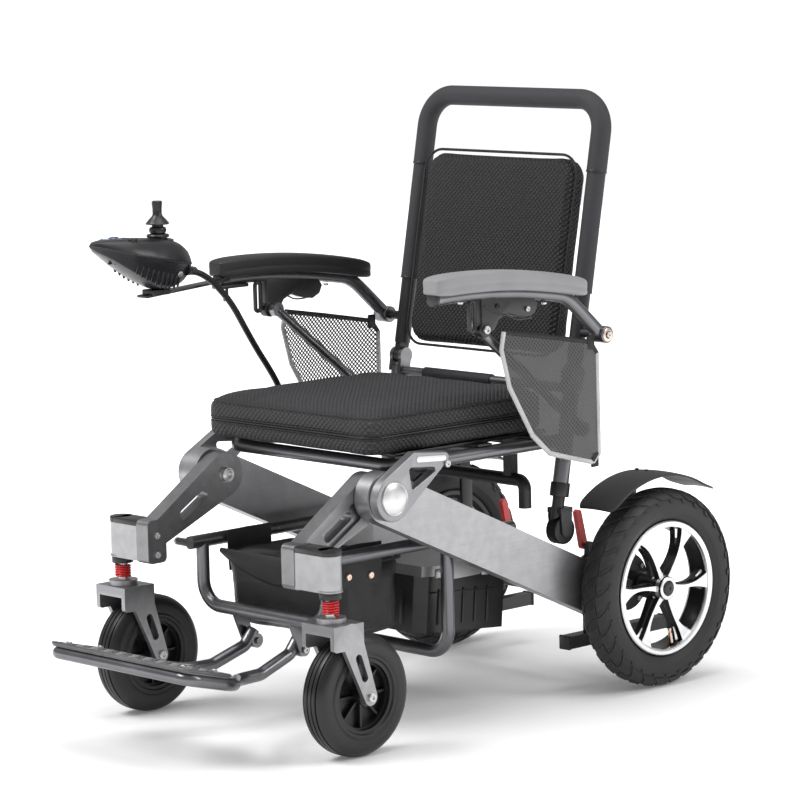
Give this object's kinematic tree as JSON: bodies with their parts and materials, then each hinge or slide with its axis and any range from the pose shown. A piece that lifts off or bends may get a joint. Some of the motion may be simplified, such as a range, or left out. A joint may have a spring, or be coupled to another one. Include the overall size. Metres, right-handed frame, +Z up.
{
  "type": "power wheelchair",
  "caption": "Folding powered wheelchair with padded seat and back, joystick control, suspended casters and motor-driven rear wheels.",
  "frame": {"origin": "centre of the footprint on the floor", "axes": "+X to the occupant's left, -Y to the front, +Z up"},
  "size_m": [0.543, 1.0495, 0.9281],
  "materials": {
    "frame_grey": "satin gunmetal lacquer",
    "cast_grey": "satin cast aluminium, grey lacquer",
    "brushed_beam": "brushed grey anodised aluminium",
    "black_frame": "semi-gloss black powder coat",
    "bright_steel": "bright plated steel",
    "rim_silver": "machined face, black sides",
    "tyre_black": "matt black rubber",
    "caster_black": "satin black solid rubber",
    "black_plastic": "fine-grained black plastic",
    "foam_black": "fine foam rubber",
    "mesh_fabric": "open black mesh with pale binding",
    "seat_fabric": "black spacer knit with zip",
    "bag_fabric": "black coated nylon",
    "pad_grey": "moulded polyurethane, fine grain",
    "spring_red": "gloss red",
    "lever_red": "satin red",
    "tread_plate": "dark diamond tread",
    "pale_metal": "mill-finish sheet"
  },
  "bodies": {
    "chassis": {"side_beams": "brushed_beam", "gear_motors": "cast_grey", "rear_cross_frame": "black_frame", "fenders": "black_plastic"},
    "front_frame": {"front_arms": "cast_grey", "lug_plates": "cast_grey", "hub_pins": "bright_steel", "caster_housings": "cast_grey"},
    "seat": {"seat_frame": "frame_grey", "lower_posts": "frame_grey", "post_forks": "black_frame", "seat_subframe": "black_frame", "back_crossbar": "foam_black", "seat_cushion": "seat_fabric", "controller_cable": "black_plastic"},
    "backrest": {"back_frame": "frame_grey", "handle_grip": "foam_black", "post_sleeves": "black_frame", "back_pad": "seat_fabric"},
    "cargo": {"cargo_frame": "frame_grey", "storage_bag": "bag_fabric", "battery_box": "black_plastic", "battery_tray": "pale_metal"},
    "footrest": {"footrest_tube": "frame_grey", "foot_plate": "tread_plate"},
    "armrest_left": {"armrest_tube_left": "frame_grey", "armrest_pad_left": "pad_grey", "armrest_latch_left": "black_frame", "mesh_pocket_left": "mesh_fabric"},
    "armrest_right": {"armrest_tube_right": "frame_grey", "armrest_pad_right": "pad_grey", "armrest_latch_right": "black_frame", "mesh_pocket_right": "mesh_fabric", "controller_case": "black_plastic", "controller_bracket": "black_frame"},
    "joystick_ring": {"joystick_ring": "black_plastic"},
    "joystick_stick": {"joystick_stick": "black_plastic"},
    "horn_button": {"horn_button": "black_plastic"},
    "power_button": {"power_button": "black_plastic"},
    "speed_button": {"speed_button": "black_plastic"},
    "release_lever_left": {"release_lever_left": "lever_red"},
    "rear_wheel_left": {"rear_tyre_left": "tyre_black", "rear_rim_left": "rim_silver"},
    "caster_swivel_left": {"caster_stem_left": "bright_steel", "caster_spring_left": "spring_red"},
    "caster_fork_left": {"caster_fork_left": "cast_grey"},
    "caster_wheel_left": {"caster_tyre_left": "caster_black", "caster_hub_left": "black_plastic"},
    "post_roller_left": {"post_roller_left": "caster_black"},
    "strut_left": {"armrest_strut_left": "frame_grey"},
    "release_lever_right": {"release_lever_right": "lever_red"},
    "rear_wheel_right": {"rear_tyre_right": "tyre_black", "rear_rim_right": "rim_silver"},
    "caster_swivel_right": {"caster_stem_right": "bright_steel", "caster_spring_right": "spring_red"},
    "caster_fork_right": {"caster_fork_right": "cast_grey"},
    "caster_wheel_right": {"caster_tyre_right": "caster_black", "caster_hub_right": "black_plastic"},
    "post_roller_right": {"post_roller_right": "caster_black"},
    "strut_right": {"armrest_strut_right": "frame_grey"}
  },
  "joints": [
    {"name": "main_fold", "type": "hinge", "parent": "chassis", "child": "front_frame", "pos_m": [0, -0.176, 0.361], "axis": [1, 0, 0], "range_deg": [0, 50]},
    {"name": "seat_fold", "type": "hinge", "parent": "front_frame", "child": "seat", "pos_m": [0, -0.069, 0.4], "axis": [1, 0, 0], "range_deg": [-58, 0]},
    {"name": "cargo_fold", "type": "hinge", "parent": "front_frame", "child": "cargo", "pos_m": [0, -0.262, 0.268], "axis": [1, 0, 0], "range_deg": [-50, 0]},
    {"name": "backrest_fold", "type": "hinge", "parent": "seat", "child": "backrest", "pos_m": [0, 0.237, 0.5], "axis": [1, 0, 0], "range_deg": [0, 72]},
    {"name": "armrest_fold_left", "type": "hinge", "parent": "backrest", "child": "armrest_left", "pos_m": [0.237, 0.2488, 0.56188], "axis": [1, 0, 0], "range_deg": [-58, 0]},
    {"name": "strut_fold_left", "type": "hinge", "parent": "seat", "child": "strut_left", "pos_m": [0.2215, 0.22145, 0.41847], "axis": [1, 0, 0], "range_deg": [0, 36]},
    {"name": "armrest_fold_right", "type": "hinge", "parent": "backrest", "child": "armrest_right", "pos_m": [-0.237, 0.2488, 0.56188], "axis": [1, 0, 0], "range_deg": [-58, 0]},
    {"name": "strut_fold_right", "type": "hinge", "parent": "seat", "child": "strut_right", "pos_m": [-0.2215, 0.22145, 0.41847], "axis": [1, 0, 0], "range_deg": [0, 36]},
    {"name": "footrest_fold", "type": "hinge", "parent": "cargo", "child": "footrest", "pos_m": [0, -0.216, 0.124], "axis": [1, 0, 0], "range_deg": [-49, 0]},
    {"name": "caster_steer_left", "type": "hinge", "parent": "front_frame", "child": "caster_swivel_left", "pos_m": [0.232, -0.3155, 0.246], "axis": [0, 0, 1], "continuous": true},
    {"name": "caster_suspension_left", "type": "slide", "parent": "caster_swivel_left", "child": "caster_fork_left", "axis": [0, 0, 1], "range_m": [0, 0.01], "stiffness_N_per_m": 9000, "springref_m": -0.02, "deforming": ["caster_spring_left"]},
    {"name": "caster_roll_left", "type": "hinge", "parent": "caster_fork_left", "child": "caster_wheel_left", "pos_m": [0.232, -0.272, 0.09], "axis": [1, 0, 0], "continuous": true},
    {"name": "rear_roll_left", "type": "hinge", "parent": "chassis", "child": "rear_wheel_left", "pos_m": [0.237, 0.369, 0.155], "axis": [1, 0, 0], "continuous": true},
    {"name": "post_roller_left", "type": "hinge", "parent": "seat", "child": "post_roller_left", "pos_m": [0.19, 0.203, 0.262], "axis": [1, 0, 0], "continuous": true},
    {"name": "release_lever_left", "type": "hinge", "parent": "chassis", "child": "release_lever_left", "pos_m": [0.082, 0.367, 0.204], "axis": [1, 0, 0], "range_deg": [0, 35]},
    {"name": "caster_steer_right", "type": "hinge", "parent": "front_frame", "child": "caster_swivel_right", "pos_m": [-0.232, -0.3155, 0.246], "axis": [0, 0, 1], "continuous": true},
    {"name": "caster_suspension_right", "type": "slide", "parent": "caster_swivel_right", "child": "caster_fork_right", "axis": [0, 0, 1], "range_m": [0, 0.01], "stiffness_N_per_m": 9000, "springref_m": -0.02, "deforming": ["caster_spring_right"]},
    {"name": "caster_roll_right", "type": "hinge", "parent": "caster_fork_right", "child": "caster_wheel_right", "pos_m": [-0.232, -0.272, 0.09], "axis": [1, 0, 0], "continuous": true},
    {"name": "rear_roll_right", "type": "hinge", "parent": "chassis", "child": "rear_wheel_right", "pos_m": [-0.237, 0.369, 0.155], "axis": [1, 0, 0], "continuous": true},
    {"name": "post_roller_right", "type": "hinge", "parent": "seat", "child": "post_roller_right", "pos_m": [-0.19, 0.203, 0.262], "axis": [1, 0, 0], "continuous": true},
    {"name": "release_lever_right", "type": "hinge", "parent": "chassis", "child": "release_lever_right", "pos_m": [-0.082, 0.367, 0.204], "axis": [1, 0, 0], "range_deg": [0, 35]},
    {"name": "stick_roll", "type": "hinge", "parent": "armrest_right", "child": "joystick_ring", "pos_m": [-0.232, -0.227, 0.706], "axis": [1, 0, 0], "range_deg": [-18, 18], "stiffness_Nm_per_rad": 0.3},
    {"name": "stick_pitch", "type": "hinge", "parent": "joystick_ring", "child": "joystick_stick", "pos_m": [-0.232, -0.227, 0.706], "axis": [0, 1, 0], "range_deg": [-18, 18], "stiffness_Nm_per_rad": 0.3},
    {"name": "horn_button", "type": "slide", "parent": "armrest_right", "child": "horn_button", "axis": [0, 0, -1], "range_m": [0, 0.0012], "stiffness_N_per_m": 400, "springref_m": -0.001},
    {"name": "power_button", "type": "slide", "parent": "armrest_right", "child": "power_button", "axis": [0, 0, -1], "range_m": [0, 0.0012], "stiffness_N_per_m": 400, "springref_m": -0.001},
    {"name": "speed_button", "type": "slide", "parent": "armrest_right", "child": "speed_button", "axis": [0, 0, -1], "range_m": [0, 0.0012], "stiffness_N_per_m": 400, "springref_m": -0.001}
  ],
  "couplings": [
    {"joint": "seat_fold", "follows": "main_fold", "ratio": -1.12},
    {"joint": "cargo_fold", "follows": "main_fold", "ratio": -1},
    {"joint": "armrest_fold_left", "follows": "backrest_fold", "ratio": -0.7},
    {"joint": "strut_fold_left", "follows": "backrest_fold", "ratio": 0.413},
    {"joint": "armrest_fold_right", "follows": "backrest_fold", "ratio": -0.7},
    {"joint": "strut_fold_right", "follows": "backrest_fold", "ratio": 0.413}
  ]
}
